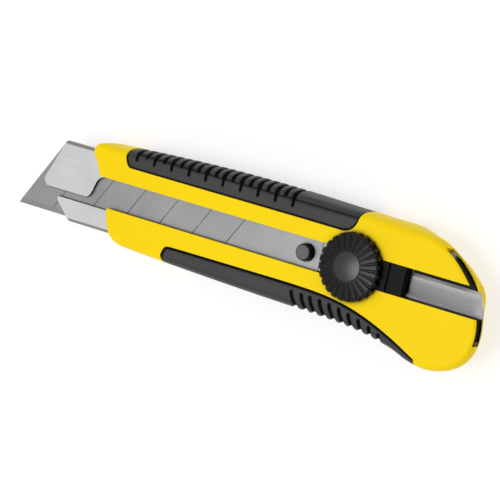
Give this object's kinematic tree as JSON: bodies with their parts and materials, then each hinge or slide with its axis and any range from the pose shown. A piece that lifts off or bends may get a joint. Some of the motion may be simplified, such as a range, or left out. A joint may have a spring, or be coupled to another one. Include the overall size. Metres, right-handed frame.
{
  "type": "snap off knife",
  "caption": "Wide segmented-blade utility knife: steel blade channel in a two-part grip handle, sliding blade carrier and screw wheel lock.",
  "frame": {"origin": "on the flat back face the knife lies on, on the blade channel's centre plane, 12 mm on the tip side of the blade's hole", "axes": "+X from the blade tip to the butt, +Y to the spine, +Z out of the face that carries the wheel"},
  "size_m": [0.1904, 0.0462, 0.0203],
  "materials": {
    "yellow_shell": "satin moulded ABS",
    "soft_grip": "matte thermoplastic rubber",
    "stainless_sheet": "rolled stainless sheet",
    "blade_steel": "ground carbon steel",
    "black_plastic": "moulded nylon",
    "knob_plastic": "moulded nylon, satin",
    "pin_steel": "blackened steel",
    "zinc_steel": "zinc plated",
    "brass": "machined"
  },
  "bodies": {
    "handle": {"front_shell": "yellow_shell", "back_shell": "yellow_shell", "upper_grip": "soft_grip", "lower_grip": "soft_grip", "shell_screws": "zinc_steel", "blade_channel": "stainless_sheet", "channel_end_plugs": "black_plastic"},
    "slider": {"blade": "blade_steel", "blade_carrier": "zinc_steel", "blade_pin": "pin_steel", "carrier_rivets": "zinc_steel", "slider_block": "black_plastic", "clamp_plate": "zinc_steel", "lock_stud": "zinc_steel", "retaining_ring": "zinc_steel"},
    "lock_washer": {"thrust_washer": "zinc_steel"},
    "lock_wheel": {"lock_knob": "knob_plastic", "knob_insert": "brass", "knob_cap": "knob_plastic"}
  },
  "joints": [
    {"name": "slider_slide", "type": "slide", "parent": "handle", "child": "slider", "axis": [1, 0, 0], "range_m": [-0.084, 0.024]},
    {"name": "wheel_lift", "type": "slide", "parent": "slider", "child": "lock_washer", "axis": [0, 0, 1], "range_m": [0, 0.0012]},
    {"name": "wheel_turn", "type": "hinge", "parent": "lock_washer", "child": "lock_wheel", "pos_m": [0.03164, 0, 0.0173], "axis": [0, 0, 1], "range_deg": [0, 538]}
  ],
  "couplings": [
    {"joint": "wheel_lift", "follows": "wheel_turn", "m_per_rad": 0.00012732}
  ]
}
